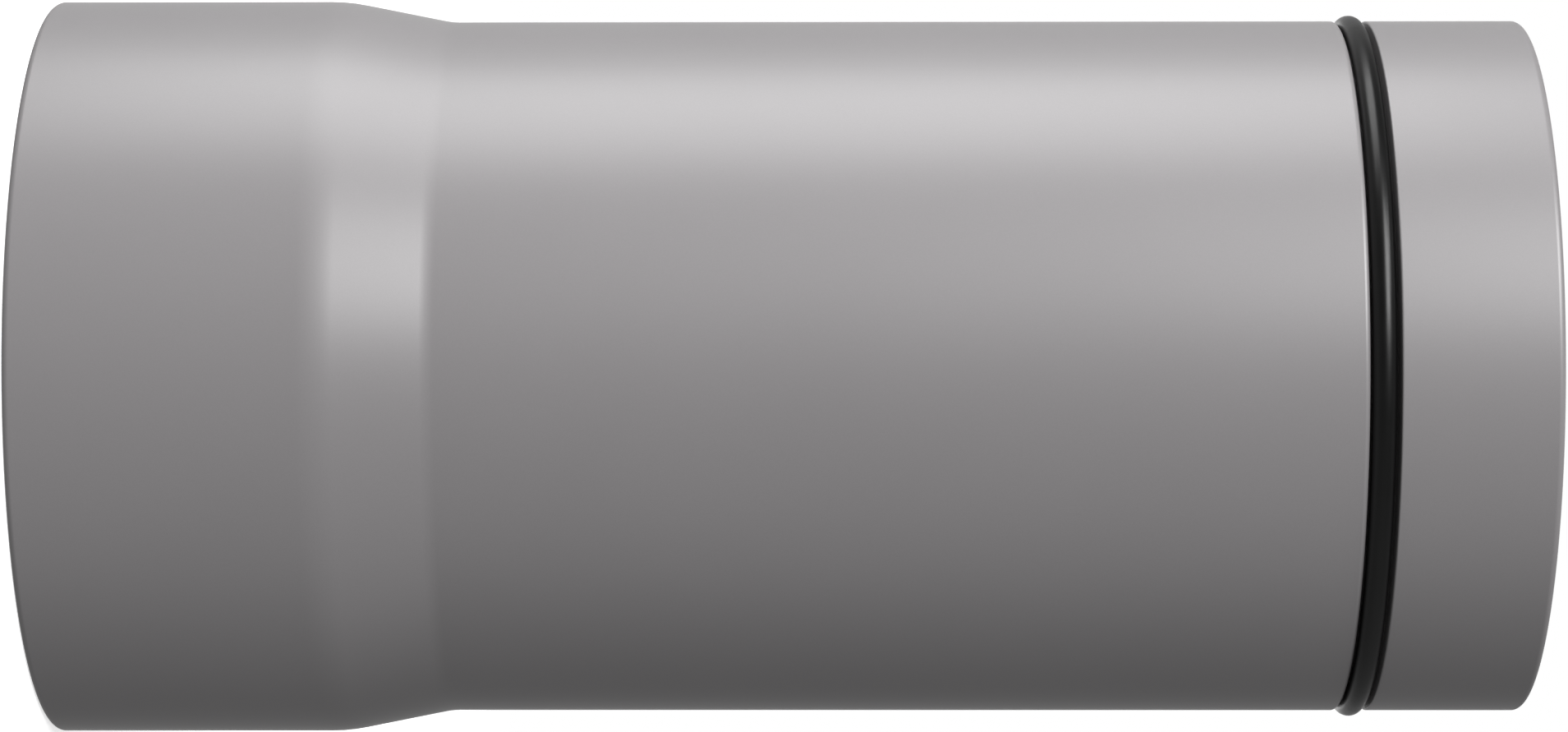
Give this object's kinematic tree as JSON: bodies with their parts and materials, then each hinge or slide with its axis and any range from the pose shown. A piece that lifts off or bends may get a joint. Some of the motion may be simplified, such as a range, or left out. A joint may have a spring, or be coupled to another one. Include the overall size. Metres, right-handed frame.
{
  "type": "suction pipe",
  "caption": "Short straight suction pipe with an expanded socket at one end and a plain spigot with a rubber sealing ring in its groove at the other.",
  "frame": {"origin": "centre of the socket mouth plane, on the surface the pipe stands on", "axes": "+Z along the pipe axis, from the socket mouth to the spigot end; X and Y are equal by symmetry"},
  "size_m": [0.1272, 0.1272, 0.2534],
  "materials": {
    "pipe_coat": "satin",
    "ring_rubber": "satin"
  },
  "bodies": {
    "root": {"pipe_body": "pipe_coat", "o_ring": "ring_rubber"}
  },
  "joints": []
}
